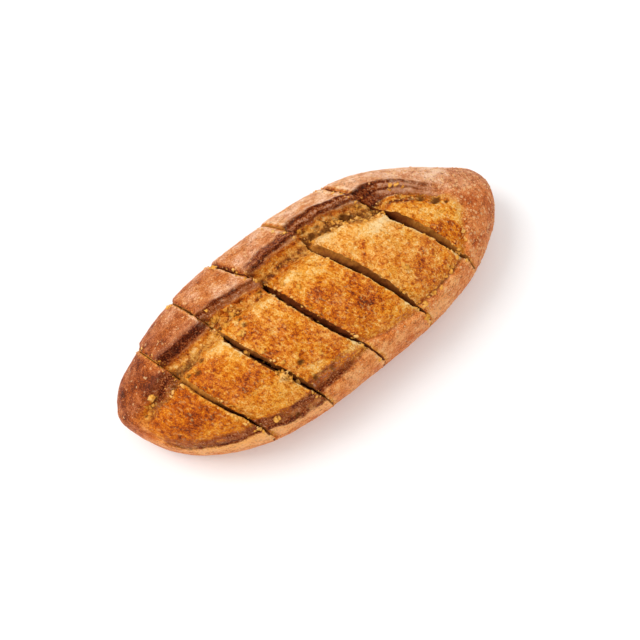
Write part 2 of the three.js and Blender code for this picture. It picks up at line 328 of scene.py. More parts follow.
# Torn and blistered surface. The ear and the lip are burnt in bands: across each slice's ear or lip,
# how far off it a place is, how burnt it is, and its tone from 0, black, to 1, pale.
# On the crust side of each ear, the bands' outer, lightly burnt parts also paint the shade that falls behind
# the ear.
EAR_LOOK = [
    [(-8.5, 0, 0.7), (-6.8, 0.7, 0.62), (-5.2, 1, 0.5), (-4, 1, 0.36), (-3, 0.9, 0.44), (-2.2, 0.5, 0.6),
     (-0.8, 0.2, 0.62), (0.5, 0, 0.6)],
    [(-4.3, 0, 0.8), (-3.6, 0.8, 0.58), (-2.8, 1, 0.36), (-1.5, 1, 0.3), (-0.4, 1, 0.37),
     (0.6, 0.8, 0.52), (2.2, 0.3, 0.66), (4, 0, 0.7)],
    [(-4.6, 0, 0.8), (-3.8, 0.5, 0.75), (-3, 0.85, 0.62), (-2.2, 0.85, 0.78), (-1.3, 0.95, 0.54),
     (-0.7, 1, 0.34), (0, 0.6, 0.62), (1.5, 0, 0.7)],
    [(-2.4, 0, 0.8), (-1.7, 0.8, 0.6), (-0.9, 1, 0.3), (-0.2, 1, 0.52), (1.8, 1, 0.58), (3, 0.95, 0.46),
     (4.3, 0.5, 0.66), (6, 0, 0.75)],
    [(-5.2, 0, 0.8), (-4.4, 0.7, 0.62), (-3.6, 1, 0.38), (-3, 1, 0.84), (-2.2, 1, 1), (-1.5, 1, 0.72),
     (-0.7, 1, 0.28), (0.1, 0.7, 0.5), (1, 0, 0.7)],
    [(-11.4, 0, 0.8), (-10.4, 0.8, 0.5), (-9.4, 0.8, 0.8), (-7, 0.8, 1), (-5.9, 0.8, 0.96),
     (-5.1, 1, 0.4), (-4.3, 0.9, 0.85), (-2.8, 0.9, 1), (-2, 1, 0.6), (-1.1, 1, 0.25), (-0.4, 0.7, 0.5),
     (0.6, 0, 0.7)]]
EAR_SLIDE = [  # how far those bands slide across the ear, by station
    (-104, -0.9), (-90, -0.8), (-80, 0.2), (-74.3, 0.2), (-74.1, -0.1), (-60, 0), (-44, 0.6), (-43.6, 0),
    (-12.4, 0), (-12, -0.5), (0, -0.1), (18, 0.5), (20.2, 0.4), (20.6, -1), (35, -0.6), (45, 0.3),
    (55.2, 0.8), (55.6, 0)]
LIP_LOOK = [
    [(-1.8, 0, 0.7), (-1.1, 0.9, 0.6), (-0.2, 1, 0.42), (1, 0.8, 0.6), (2.5, 0.6, 0.52), (3.6, 0.4, 0.6),
     (4.6, 0, 0.7)],
    [(-3.5, 0, 0.7), (-2.7, 1, 0.46), (-1.8, 1, 0.4), (-0.9, 0.8, 0.62), (0.6, 0.7, 0.66),
     (1.6, 0.8, 0.56), (2.4, 1, 0.42), (3.3, 0.5, 0.6), (4.2, 0, 0.7)],
    [(-2.6, 0, 0.7), (-1.7, 0.9, 0.55), (-0.8, 1, 0.4), (0.6, 0.9, 0.52), (1.8, 0.4, 0.74),
     (3, 0.35, 0.8), (4.2, 0.8, 0.48), (5, 0.5, 0.55), (5.7, 0, 0.7)],
    [(-2, 0, 0.8), (-0.7, 0.4, 0.7), (0.5, 0.5, 0.64), (1.5, 0.3, 0.66), (2.6, 0, 0.8)],
    [(-1.8, 0, 0.8), (-0.6, 0.6, 0.52), (0.4, 0.6, 0.52), (1.6, 0, 0.8)],
    [(-1, 0, 0.8), (1, 0, 0.8)]]
EAR_BURN = [  # how burnt the ear is, by station
    (-100, 0), (-94, 0.3), (-91, 0.9), (-76, 1), (-74.3, 0.8), (-74.1, 0.5), (-71, 1), (-55, 1),
    (-48, 0.95), (-43.9, 0.7), (-43.7, 0.8), (-38, 0.95), (-28, 0.85), (-20, 0.85), (-12.3, 0.6),
    (-12.1, 0.3), (-7, 0.7), (0, 0.95), (12, 1), (20.3, 0.9), (20.5, 0.8), (25, 1), (40, 1), (55.3, 0.9),
    (55.5, 1), (67, 1), (70, 0.75), (76, 0.6), (81, 0.4), (85, 0)]
LIP_BURN = [  # how burnt the lip is, by station
    (-104, 0), (-100, 0.6), (-92, 0.75), (-84, 1), (-44, 1), (-32, 1), (-24, 0.7), (-18, 0.4),
    (-12, 0.35), (20, 0.6), (55, 0.9)]
EAR_EDGE = np.array([-3.4, -4.0, -4.2, -2.1, -4.8, -10.8])  # where the crumb begins, off the ear
# Painted shade, with a painted greyish reflection, on the crust just behind each slice's ear:
EAR_SHADE_AND_SHEEN = np.array([
    (0, 1), (0.9, 4.5), (0.5, 2.4), (0.6, 5.5), (0.5, 2.6), (0.4, 1.6)])  # amount and reach
LIP_BROWN = np.array([2.4, 3.8, 2.8, 0.4, 0, 0])  # how far in from the lip the plate browned
VALLEY_EDGE = [  # where the torn valley ends and the plate begins, by station, off the ear
    (-104, -8), (-92, -9), (-75, -10.5), (-73.9, -15), (-64, -13), (-56, -10), (-44, -9), (-43.6, -11),
    (-33, -12), (-24, -11), (-12.4, -8.5), (-12, -8), (0, -8.5), (9, -10), (20.2, -13), (20.6, -14),
    (30, -15), (38, -19), (48, -21), (55.2, -17), (55.6, -14), (63, -18.5), (69, -18.5), (76, -15),
    (84, -8)]
TORN = np.array([0.6, 0.5, 0.9, 0.5, 1, 0.8])  # how roughly each valley tore
HOLES = [  # open crumb holes and hollows in the valley and the lip: X, Y, radius, depth
    (-70, 5, 1.2, 1.3), (-69, -1, 1.1, 1.3), (-73, 1, 1, 1.2), (-38, 3, 1, 1.2), (-28, -27, 1.3, 1.3),
    (-95, 2, 1, 1.2), (-100, 1, 0.8, 1), (12, 19.6, 1.1, 1.3), (16, 21.6, 1.6, 1.4), (20, 20, 1.1, 1.4),
    (24, 19.4, 1.7, 1.4), (28.5, 20, 1, 1.3), (30, 16.4, 0.9, 1.1), (34.5, 19.6, 1.8, 1.5),
    (37, 18, 1.2, 1.3), (41, 15.6, 1.6, 1.4), (44, 12.5, 1.0, 1.2), (33, 15.4, 0.9, 1.1),
    (66.5, 5.6, 0.7, 0.9), (70.6, 3.4, 1.7, 1.8), (73.6, 1.4, 0.8, 1), (75.3, -2, 1.9, 1.8),
    (79, -5.4, 0.8, 1.1), (72.6, 5, 0.7, 0.9), (-48, 10, 1.1, 1.2), (-64, 3, 1.0, 1.1), (-37, 10, 1, 1.2),
    (-38, 7, 0.9, 1.1), (46, -37, 0.7, 0.8), (53, -35, 0.7, 0.8), (61, -32, 0.7, 0.8),
    (-26, -36, 1.1, 1.1), (-42, -43, 0.8, 1), (-17, -37, 0.9, 0.9)]
CUT_GAP = [  # width of each open cut at the skin, by Y
    [(-36, 1.8), (-22, 2.2), (-15, 3.2), (4, 3.4)], [(-40, 2.4), (-25, 3.3), (0, 3), (6, 2.4)],
    [(-33, 2.8), (-15, 3.3), (10, 2.8), (16, 2.6)], [(-38, 3.4), (-10, 3.9), (-2, 4.8), (14, 4.4)],
    [(-28, 3.2), (-15, 4.2), (3, 5.8), (8, 5)]]
WANDER = [(55, 1.6), (75, 3)]  # how far the edges of the plate wander, by station
LIP_FADE = [(60, 0.6), (75, 3.2)]  # half the width over which it passes into the near crust, by station
SCORE_LEVELS = (16, 26)  # the score's looks fade in between these heights
LUMP_REACH = 0.62  # radius of a torn lump, in parts of its cell
# Painted shade on the crust just right of each shut cut, where its rim sinks:
CUT_SHADE_DARKNESS = np.array([0.9, 0.6, 1, 0.25, 0.6])  # how dark the crust is on the right of each shut cut


def chunks(points, size, seed):
    """Rounded lumps of torn crumb about `size` millimetres wide, each with its own height."""
    shift, heights = Vector((seed * 9.1, seed * 4.7, seed * 6.3)), []
    for p in points:
        near, centres = noise.voronoi(Vector(p) / size + shift)
        heights.append(noise.cell(centres[0] * 37.0) * (1 - min(near[0] / LUMP_REACH, 1) ** 2))
    return np.array(heights)


def across(looks, part, off):
    """How burnt each point is, and in what tone, from how far off the ear or the lip it lies."""
    burnt, tone = np.zeros(len(off)), np.ones(len(off))
    for k, look in enumerate(looks):
        mine = part == k
        places, burns, tones = zip(*look)
        burnt[mine] = np.interp(off[mine], places, burns)
        tone[mine] = np.interp(off[mine], places, tones)
    return burnt, tone


def zones(points):
    """Which part of the loaf each point is on, as weights from 0 to 1."""
    u = station_of(points)
    part = slice_of(u)
    ear, foot, plate, lip = score_lines(u, part)
    moved = slid(u, part) * smooth(*FREE_LEVELS, points[:, 2]) * loose(points[:, 0])
    y = points[:, 1] - moved + 0.4 * field(points, 3.3, 1) + 0.3 * field(points, 1.4, 2)
    up = smooth(*SCORE_LEVELS, points[:, 2]) * scored(u)
    burn = value_at(EAR_BURN, u)
    lip_burn = value_at(LIP_BURN, u) * (0.55 + 0.45 * smooth(-0.6, 0.0, field(points, 5, 19)))
    inner = ear + EAR_EDGE[part] * (0.65 + 0.35 * burn)
    edge = ear + value_at(VALLEY_EDGE, u)
    bloom = y + value_at(WANDER, u) * field(points, 6, 25)
    soft_lip = value_at(LIP_FADE, u)
    ear_burnt, ear_tone = across(EAR_LOOK, part, y - ear - value_at(EAR_SLIDE, u))
    lip_burnt, lip_tone = across(LIP_LOOK, part, y - lip)
    ear_burnt, lip_burnt = ear_burnt * burn, lip_burnt * lip_burn * smooth(plate - 2, plate - 9, lip)
    # Painted shade: a dark wedge in the dip where slice 5's ear ends against slice 6, also sunk a little.
    shade_wedge = (part == 5) * smooth(66.5, 60, u + 2.5 * field(points, 4, 25) - 0.25 * (y - ear + 6))
    shade_wedge = shade_wedge * smooth(-14, -10, y - ear) * smooth(0, -3, y - ear)
    tone = ear_tone * ear_burnt + lip_tone * lip_burnt + 0.15 * shade_wedge
    tone = tone / (ear_burnt + lip_burnt + shade_wedge + 0.001)
    behind_shade, reach = EAR_SHADE_AND_SHEEN[part].T
    at_cut = np.argmin(np.abs(u[:, None] - CUT_AT), axis=1)
    gap = np.choose(at_cut, [value_at(gaps, y) for gaps in CUT_GAP])
    off_cut = u - CUT_AT[at_cut]
    cut_shade = CUT_SHADE_DARKNESS[at_cut] * smooth(3.2, 1.2, off_cut + 0.7 * field(points, 2.2, 28))
    cut_shade = cut_shade * (off_cut > 0) * smooth(ear, ear + 2, y)
    weights = {
        "burnt": np.maximum.reduce([ear_burnt, lip_burnt, shade_wedge]),
        # painted shade and greyish reflection on the crust behind the ear
        "ear_shade_and_sheen": behind_shade * smooth(reach, 0, y - ear) * smooth(-1.5, -0.2, y - ear) * burn,
        "crumb": smooth(inner + 0.6, inner - 0.8, y) * smooth(lip - soft_lip, lip + 0.4 + soft_lip, bloom),
        "glow": smooth(inner + 0.6, inner - 0.4, y) * smooth(inner - 5.2, inner - 2.2, bloom),
        "torn": smooth(inner, inner - 2, y) * smooth(edge - 1.5, edge + 2, bloom) * TORN[part],
        "valley": smooth(inner - 0.5, inner - 2.5, bloom) * smooth(edge - 1.8, edge + 1.8, bloom),
        "plate": smooth(edge + 2, edge - 2, y) * smooth(lip - 0.5, lip + 2, y),
        "lip_brown": smooth(LIP_BROWN[part] + 1, LIP_BROWN[part] - 1.5, bloom - lip) * lip_burn,
        "cut_shade": cut_shade,
        "shade_wedge": shade_wedge,
    }
    weights = {name: weight * up for name, weight in weights.items()}
    chipped = np.abs(off_cut - 0.5) + 0.9 * field(points, 2.2, 28)
    weights["chipped"] = smooth(1.9, 0.5, chipped) * smooth(14, 22, points[:, 2]) * (1 - weights["crumb"])
    places = {"u": u, "part": part, "under_ear": inner - y, "at_cut": at_cut,
              "away": np.abs(off_cut) - gap / 2, "right_of_cut": off_cut > 0, "tone": tone}
    return {**places, **weights}


def hole_depth(points, sharp):
    """Depth of the open holes at each point, ragged at their rims."""
    bent = points[:, :2] + 0.8 * np.stack([field(points, 1.6, 21), field(points, 1.6, 22)], 1)
    deep = np.zeros(len(points))
    for x, y, radius, depth in HOLES:
        reach = np.hypot((bent[:, 0] - x) * 0.8, bent[:, 1] - y) / radius
        deep = np.maximum(deep, depth * smooth(1.3, sharp, reach) * (points[:, 2] > 30))
    return deep


# How far the skin stands out, in turn: all of it, the burnt bands, the cuts' chipped and pressed edges,
# the torn valley, the plate, the crumbly rims, the burnt lumps of the right end and the open holes.
# The foot of the loaf stays smooth.
zone = zones(skin)
grain = field(skin, 1.2, 5)
push = 0.22 * field(skin, 9, 6) + (0.12 * field(skin, 3, 7) + 0.1 * grain) * (1 - zone["crumb"])
push += zone["burnt"] * (0.35 + 0.6 * grain + 1.5 * (zone["tone"] - 0.5)) - 0.9 * zone["shade_wedge"]
push -= 0.35 * zone["chipped"] * (1 + grain) + 1.4 * zone["cut_shade"]
push += zone["torn"] * (2.1 * chunks(skin, 2.6, 3) - 0.8 + 0.4 * field(skin, 2.2, 8) + 0.3 * grain)
push -= zone["torn"] ** 2 * 1.6 * smooth(0.12, 0.42, field(skin, 2.6, 23))
push += zone["plate"] * (0.4 * field(skin, 5, 9) + 0.32 * field(skin, 2.1, 10) + 0.3 * grain)
push -= zone["crumb"] * smooth(2.0, 0.2, zone["away"]) * (0.45 + 1.5 * np.maximum(field(skin, 2.4, 24), -0.3))
push -= zone["crumb"] * zone["right_of_cut"] * 0.7 * smooth(2.6, 0, zone["away"])
push += (zone["part"] == 5) * zone["burnt"] * (0.9 * chunks(skin, 2.4, 31) - 0.25)
push -= hole_depth(skin, 0.4)
push *= smooth(0.5, 4, skin[:, 2])
outward = read(loaf.data.vertices, "normal")
outward[:, 0] *= smooth(-1.2, 0.6, zone["away"])
set_points(loaf.data, inside_box(skin + outward * push[:, None]) * MM)

# The loaf was cut across five times with a thin serrated knife that leaned toward the left end.
# The cuts gape over the plate, stay shut at the crust, and their walls show rough buttered crumb.
CUT_FLOOR = 13.0
KNIFE_LENGTH = 108
CUT_ABOVE = 3.0  # how far a knife reaches above the skin
CUT_THIN = 0.3
CUT_RIM = 1.3  # how much wider the shut parts are at the skin
CUT_OPEN = np.array([(4, -35), (7, -41), (15, -35), (17, -38), (6, -31)])  # Y at the ends of the open part
CUT_EASE = 4.0  # over which an open part closes at its ends
KNIFE_GRID = (116, 36)  # faces of a knife along the cut and down it
RAY_FROM = 0.2  # height in metres that rays onto the loaf start from
CUT_SLOPE = [  # how far each right wall slopes in below its rim, by Y
    [(-22, 0.3), (-15, 3.6), (6, 4.4)], [(-40, 0.6), (-30, 1.8), (-16, 0.8), (0, 1.8), (10, 1.2)],
    [(-40, 0.8), (-26, 1.6), (-12, 0.9), (0, 1.9), (10, 1.4)], [(-8, 1.3), (-2, 3), (18, 3.4)],
    [(-30, 2.4), (-10, 2.8), (0, 1.6), (8, 0.8)]]
CUT_BACK = [0, 0.7, 0.7, 0.7, 0.7]  # how far each left wall draws back below its rim
# Toasted brown crumb, together with painted shade where a slit is deep and dark:
WALL_TOAST_AND_SHADE = [  # how brown each cut's walls are, by Y
    [(-35, 0.9), (-22, 0.8), (-16, 0.1), (6, 0)], [(-40, 0.7), (8, 0.6)], [(-36, 1), (16, 1)],
    [(-38, 0.8), (-8, 0.65), (-3, 0.4), (15, 0.25)], [(-30, 0.6), (-20, 0.4), (-8, 0.3), (1, 0.8), (8, 1)]]
WALL_LUMPS = [1.4, 2.6, 2.6, 1.2, 1.0]  # height of the lumps on each cut's walls


def cut_width(k, y, z, top):
    """Width of a cut: thin below, half open inside and flared at the torn rim under the skin's top."""
    start, end = CUT_OPEN[k].T
    open_part = smooth(start + CUT_EASE, start - CUT_EASE, y) * smooth(end - CUT_EASE, end + CUT_EASE, y)
    high = np.clip((z - CUT_FLOOR) / (CROWN_HEIGHT - CUT_FLOOR), 0, 1)
    flare = smooth(top - 6, top, z)
    shut = CUT_THIN + CUT_RIM * smooth(top - 1.6, top + 0.2, z)
    gap = value_at(CUT_GAP[k], y)
    return open_part, shut + (gap - shut) * open_part * (0.5 * high + 0.5 * flare)


def ray_target(mesh):
    """Search tree of a mesh, for rays and nearest points."""
    return BVHTree.FromPolygons([v.co.copy() for v in mesh.vertices], [f.vertices[:] for f in mesh.polygons])


def drop(target, x, y):
    """Where a ray from above meets the target at X and Y, and the surface's direction there."""
    return target.ray_cast(Vector((x, y, RAY_FROM)), Vector((0, 0, -1)))[:2]


uncut = ray_target(loaf.data)
skin_finish = blank_material("baked_crust")
wall_finish = blank_material("cut_crumb")
loaf.data.materials.append(skin_finish)
loaf.data.materials.append(wall_finish)
for k in range(5):
    bpy.ops.object.select_all(action="DESELECT")
    bpy.ops.mesh.primitive_grid_add(x_subdivisions=KNIFE_GRID[0], y_subdivisions=KNIFE_GRID[1], size=1)
    knife = bpy.context.object
    edit_whole(bpy.ops.mesh.extrude_region_move, TRANSFORM_OT_translate={"value": (0, 0, 1)})
    sheet = get_points(knife.data)
    y = sheet[:, 0] * KNIFE_LENGTH
    side = np.where(sheet[:, 2] > 0.5, 0.5, -0.5)
    top = np.full(len(y), 45.0)
    for _ in range(3):
        line = station_x(np.full(len(y), CUT_AT[k]), y, top)
        for n, place in enumerate(np.stack([line, y], 1) * MM):
            hit = drop(uncut, *place)[0]
            top[n] = max(hit.z / MM, 20) if hit else 20
    z = CUT_FLOOR + (top + CUT_ABOVE - CUT_FLOOR) * (1 - (0.5 - sheet[:, 1]) ** 2)
    line = station_x(np.full(len(y), CUT_AT[k]), y, z)
    open_part, wide = cut_width(k, y, z, top)
    gaping = np.clip((wide - CUT_THIN) / 1.5, 0, 1)
    place = np.stack([side * 40 + k * 90, y, z], 1)
    rough = gaping * (1.2 * field(place, 4.2, 11) + field(place, 1.7, 12)) + 0.12 * field(place, 1.6, 12)
    rough -= gaping * WALL_LUMPS[k] * chunks(place, 2.6, 30) * smooth(top + 0.5, top - 1.5, z)
    sway = 0.35 * np.sin(z / 3.1 + y / 8 + k) * smooth(4, 9, top - z) - 1.6 * smooth(30, 17, z)
    slope = value_at(CUT_SLOPE[k], y) * (1 - smooth(top - 9, top, z))
    sway -= open_part * np.where(side > 0, np.minimum(slope, 0.95 * wide), CUT_BACK[k])
    x = line + sway + side * (wide + rough)
    set_points(knife.data, np.stack([x, y, z], 1) * MM)
    for material in (skin_finish, wall_finish):
        knife.data.materials.append(material)
    knife.data.polygons.foreach_set("material_index", np.ones(len(knife.data.polygons), np.int32))
    only(knife)
    edit_whole(bpy.ops.mesh.normals_make_consistent, inside=False)
    only(loaf)
    slit = loaf.modifiers.new("slit", "BOOLEAN")
    slit.operation = "DIFFERENCE"
    slit.solver = "MANIFOLD"
    slit.object = knife
    bpy.ops.object.modifier_apply(modifier="slit")
    bpy.data.objects.remove(knife)

# How far each point was baked. The plate is golden with browner and paler mottles, seen on the real
# one at these places: X, Y, length and width of the mottle, and its bake from 0, pale, to 1, dark.
MOTTLES = np.array([
    (-82, -17, 6, 4, 0.8), (-85, -6, 6, 5, 0.66), (-74, -28, 6, 4, 0.42), (-85, -26, 6, 3, 0.4),
    (-97, -8, 5, 4, 0.6), (-74, -20, 5, 3, 0.72), (-70, -34, 4, 2.5, 0.5), (-54, 2, 6, 3, 0.1),
    (-48, -6, 5, 3, 0.15), (-50, -13, 4, 3, 0.5), (-54, -19, 7, 3.5, 0.74), (-64, -9, 4, 4, 0.72),
    (-45, -21, 5, 3, 0.6), (-38, -29, 4, 3, 0.12), (-51, -30, 4, 3, 0.42), (-42, -33, 6, 4, 0.3),
    (-63, -20, 5, 3, 0.55), (-26, 6, 5, 4, 0.22), (-24, -4, 5, 4, 0.38), (-37, -3, 4, 3, 0.72),
    (-27, -14, 6, 4, 0.56), (-20, -23, 6, 4, 0.5), (-11, -31, 5, 3, 0.62), (-31, -30, 3, 3, 0.4),
    (-22, -33, 4, 2, 0.15), (-3, -35, 5, 2, 0.2), (-19, -40, 5, 3, 0.85), (-27, -40, 4, 3, 0.92),
    (-36, -16, 4, 3, 0.65), (-6, 8, 6, 3, 0.06), (4, 3, 6, 3, 0.16), (-7, -1, 4, 2, 0.25),
    (-1, -9, 5, 4, 0.66), (12, -14, 6, 4, 0.62), (15, -23, 6, 4, 0.86), (2, -21, 5, 3, 0.6),
    (16, -30, 4, 3, 0.5), (21, -35, 4, 3, 0.34), (32, -34, 4, 2, 0.12), (10, -4, 5, 2, 0.4),
    (1, -29, 5, 3, 0.5), (9, -35, 4, 2, 0.36), (20, 16, 7, 3, 0), (43, 4, 8, 3, -0.02),
    (22, 3, 6, 3, 0.28), (30, 0, 2.2, 1.5, 0.78), (28, -5, 1.8, 1.5, 0.68), (41, -9, 5, 4, 0.36),
    (40, -18, 5, 3, 0.48), (49, -23, 5, 4, 0.7), (49, -31, 5, 4, 0.68), (39, -30, 4, 3, 0.46),
    (40, -21, 1.8, 1.6, 0), (61, -28, 4, 3, 0.5), (41, -36, 3, 3, 0.5), (32, -12, 4, 3, 0.45),
    (66, -33, 3, 3, 0.62), (56, 5, 3, 2, 0.2), (61, 0.5, 3.5, 2.2, 0.18), (66, -4, 3.5, 2.2, 0.2),
    (72, -9, 3, 2, 0.12), (71, -16, 4, 3, 0.62), (64, -17, 4, 3, 0.66), (75, -22, 3, 3, 0.68),
    (60, -8, 4, 2, 0.45), (79, -16, 2.5, 3, 0.12), (69, -28, 2.5, 2, 0.25), (67, -24, 3, 3, 0.68),
    (62, -13, 4, 2, 0.7), (80, -10, 2, 2, 0.3), (-67, -3, 5, 5, 0.64), (-69, -12, 4, 5, 0.66),
    (-59, -4, 4, 3, 0.58), (-76, -6, 4, 6, 0.68), (-76, -14, 4, 4, 0.68), (8, 9, 4, 3, 0.12),
    (83, -9, 2, 3, 0.15), (57, -20, 5, 4, 0.6), (56, -31, 5, 3, 0.62), (46, -15, 4, 3, 0.4)])
TANS = [  # darker and paler places of the crust, given in the same way
    (-84, 8, 5, 5, 1.1), (-90, 9, 5, 3, 0.85), (-99, 10, 5, 5, 0.62), (-64, 27, 6, 5, 0.55),
    (88, 14, 9, 7, 0.12), (74, 26, 8, 4, 0.15), (97, -3, 6, 5, 0.3), (93, -18, 5, 5, 0.4)]
PLATE_BAKE = np.array([0.62, 0.38, 0.42, 0.48, 0.28, 0.42])  # each slice's plate between its mottles
# The valley's bake and dullness below give torn crumb and, partly, painted shade under the ear.
VALLEY_BAKE = [  # by station
    (-104, 0.5), (-90, 0.55), (-76, 0.7), (-74.2, 0.62), (-66, 0.6), (-60, 0.44), (-44, 0.4),
    (-43.7, 0.42), (-30, 0.5), (-12, 0.45), (-5, 0.5), (20, 0.38), (20.5, 0.5), (30, 0.42), (36, 0.52),
    (55, 0.56), (55.5, 0.76), (70, 0.66), (84, 0.5)]
VALLEY_OLIVE = np.array([0.7, 0.9, 0.35, 0.8, 0.85, 0.25])  # how dull, rather than golden, it is
FAR_BAKE = [  # crust of the far side, by X
    (-111, 0.76), (-75, 0.66), (-60, 0.46), (-35, 0.4), (0, 0.27), (30, 0.2), (60, 0.22), (85, 0.28),
    (105, 0.44)]
NEAR_BAKE = [  # crust of the near side, by X
    (-108, 0.5), (-101, 0.14), (-90, -0.02), (-50, 0.05), (-20, 0.25), (20, 0.26), (50, 0.2), (80, 0.33),
    (100, 0.44)]
BLUSH = np.array([-0.3, 0.15, 0.3, 0.1, 0.45, -0.1])  # how pink, rather than amber, each plate browned
LIVELY = np.array([0.75, 0.9, 1, 1, 1, 1])  # how strongly each slice's colour varies
FLOURY = [(-110, 0.1), (-60, 0.35), (30, 0.5), (85, 1)]  # how floury the crust is, by X


def oval(places, x, y, long, short):
    """Share that places have in a soft oval spot: 1 in its middle, fading outward."""
    return np.exp(-1.3 * (((places[:, 0] - x) / long) ** 2 + ((places[:, 1] - y) / short) ** 2))


points = get_points(loaf.data) / MM
zone = zones(points)
u, part, crumb = zone["u"], zone["part"], zone["crumb"]
warped = points[:, :2] + 1.2 * np.stack([field(points, 4, 13), field(points, 4, 14)], 1)
weight, total = 0.25, 0.25 * PLATE_BAKE[part]
for x, y, long, short, level in MOTTLES:
    near = oval(warped, x, y, long, short)
    weight, total = weight + near, total + near * level
crumb_bake = total / weight
# Painted highlight: a pale line along the left rim of each cut; painted shade: a slightly darker band along
# its right rim.
rim = smooth(1.6, 0.3, zone["away"] + 0.7 * field(points, 2, 15))
crumb_bake += np.where(zone["right_of_cut"], 0.06, -0.34) * rim
crumb_bake += (0.9 - crumb_bake) * 0.75 * zone["lip_brown"]
valley_bake = value_at(VALLEY_BAKE, u) + 0.35 * field(points, 2.4, 16)
# Painted highlight on the tops of the torn lumps, and painted shade in the hollows between them.
valley_bake -= 0.5 * (chunks(points, 2.6, 3) - 0.35)
crumb_bake += (valley_bake - crumb_bake) * 0.9 * zone["valley"]
glow_bake = 0.56 - 0.11 * np.clip(zone["under_ear"], 0, 4) + 0.2 * field(points, 2.4, 16)
crumb_bake += (glow_bake - crumb_bake) * 0.9 * zone["glow"]
side = smooth(-6, 6, points[:, 1])
far_bake = value_at(FAR_BAKE, points[:, 0])
near_bake = value_at(NEAR_BAKE, points[:, 0])
crust_bake = near_bake + (far_bake - near_bake) * side
crust_bake += (0.34 - crust_bake) * 0.7 * smooth(32, 16, points[:, 2])
for x, y, long, short, level in TANS:
    near = oval(warped, x, y, long, short)
    crust_bake += (level - crust_bake) * near * (points[:, 2] > 15)
crust_bake += 0.14 * field(points, 14, 17) + 0.16 * field(points, 5, 18)
crust_bake -= 0.25 * smooth(1.4, 0.2, np.abs(zone["away"])) * smooth(18, 26, points[:, 2])
crumb = np.maximum(crumb, 0.8 * zone["chipped"])
crumb_bake += (0.5 + 0.5 * field(points, 2, 29) - crumb_bake) * zone["chipped"]
bake = crust_bake + (crumb_bake - crust_bake) * crumb
# painted shade along the right of each shut cut
bake += (0.94 + 0.2 * field(points, 2, 29) - bake) * zone["cut_shade"]
# Painted shade in the open holes and the torn hollows.
hole_shade = np.minimum(hole_depth(points, 0.6), 1)
hole_shade = np.maximum(hole_shade, 0.8 * smooth(0.1, 0.35, field(points, 2.6, 23)) * zone["torn"] ** 2)
depth = np.array([uncut.find_nearest(Vector(p * MM))[3] / MM for p in points])
toast_and_shade = np.choose(zone["at_cut"], [value_at(toast_and_shade_levels, points[:, 1]) for toast_and_shade_levels in WALL_TOAST_AND_SHADE])
finishes = {
    "crumb": crumb, "bake": bake, "burnt": zone["burnt"], "ear_shade_and_sheen": zone["ear_shade_and_sheen"], "hole_shade": hole_shade, "depth": depth,
    "valley": zone["valley"] * (1 - 0.85 * zone["glow"]) * VALLEY_OLIVE[part],
    "ember": np.clip(zone["tone"] + 0.18 * field(points, 2.5, 26), 0, 1),
    "lively": (0.32 + 0.85 * bake) * LIVELY[part],
    "blush": np.clip(BLUSH[part] + 0.6 * field(points, 8, 27), 0, 1),
    "floury": value_at(FLOURY, points[:, 0]),
    "toast_and_shade": toast_and_shade,
    "near": smooth(8, -12, points[:, 1]),
}
for name, values in finishes.items():
    layer = loaf.data.attributes.new(name, "FLOAT", "POINT")
    layer.data.foreach_set("value", values.astype(np.float32))
only(loaf)
SHARP_ANGLE = 62
bpy.ops.object.shade_smooth_by_angle(angle=math.radians(SHARP_ANGLE))


def srgb(code):
    """A linear colour from its sRGB hex code."""
    parts = [int(code[k:k + 2], 16) / 255 for k in (1, 3, 5)]
    return (*[c / 12.92 if c <= 0.04045 else ((c + 0.055) / 1.055) ** 2.4 for c in parts], 1)


def node(material, kind, inputs=None, stops=None, **settings):
    """Adds a shader node and gives the output that is used. Inputs are values, or outputs to link.

    Math multiplies by input 1 and adds input 2, unless told otherwise. Mix takes the share of its
    second colour as input 0 and the two colours as inputs 6 and 7.
    """
    usual = {"Mix": {"data_type": "RGBA"}, "Math": {"operation": "MULTIPLY_ADD"}}.get(kind, {})
    made = material.node_tree.nodes.new("ShaderNode" + kind)
    for name, value in {**usual, **settings}.items():
        setattr(made, name, value)
    for key, value in (inputs or {}).items():
        if isinstance(value, bpy.types.NodeSocket):
            material.node_tree.links.new(value, made.inputs[key])
        else:
            made.inputs[key].default_value = value
    if stops:
        ramp = made.color_ramp.elements
        while len(ramp) < len(stops):
            ramp.new(0.5)
        for stop, (place, code) in zip(ramp, stops):
            stop.position = place
            stop.color = srgb(code)
    used = {"Mix": 2, "Attribute": 2, "TexCoord": 3}.get(kind, 0)
    return made.outputs[used] if made.outputs else None


# Baked wheat crust and torn, buttered crumb: browned by heat, dry and matt, a little oily on the plate.
# The crumb's strands run across the loaf, 1 mm wide and 2 mm long, its mottles are 3 mm wide, and the
# flecks of flour and scorch on the crust 1.5 mm.
add = partial(node, skin_finish)
place = add("TexCoord")
strands = add("Mapping", {"Vector": place, "Rotation": (0, 0, math.radians(22)), "Scale": (1, 2, 1)},
              vector_type="TEXTURE")
named = {name: add("Attribute", attribute_name=name) for name in (
    "crumb", "bake", "burnt", "ear_shade_and_sheen", "hole_shade", "valley", "near", "ember", "blush", "floury", "lively")}
fleck, grain, mottle, patch, dust = [
    add("TexNoise", {"Vector": where, "Scale": scale, "Detail": detail, "Roughness": roughness})
    for where, scale, detail, roughness in (
        (place, 1500, 2, 0.5), (strands, 950, 3, 0.6), (place, 300, 3, 0.65), (place, 120, 2, 0.5),
        (place, 620, 1.5, 0.5))]
spark = add("TexNoise", {"Vector": strands, "Scale": 800, "Detail": 1, "Roughness": 0.4, "W": 3},
            noise_dimensions="4D")
fine = add("Math", {0: fleck, 1: 1.2, 2: -0.6})
medium = add("Math", {0: grain, 1: 1.2, 2: -0.6})
broad = add("Math", {0: mottle, 1: 1.7, 2: -0.85})
small = add("Math", {0: fine, 1: medium}, operation="ADD")
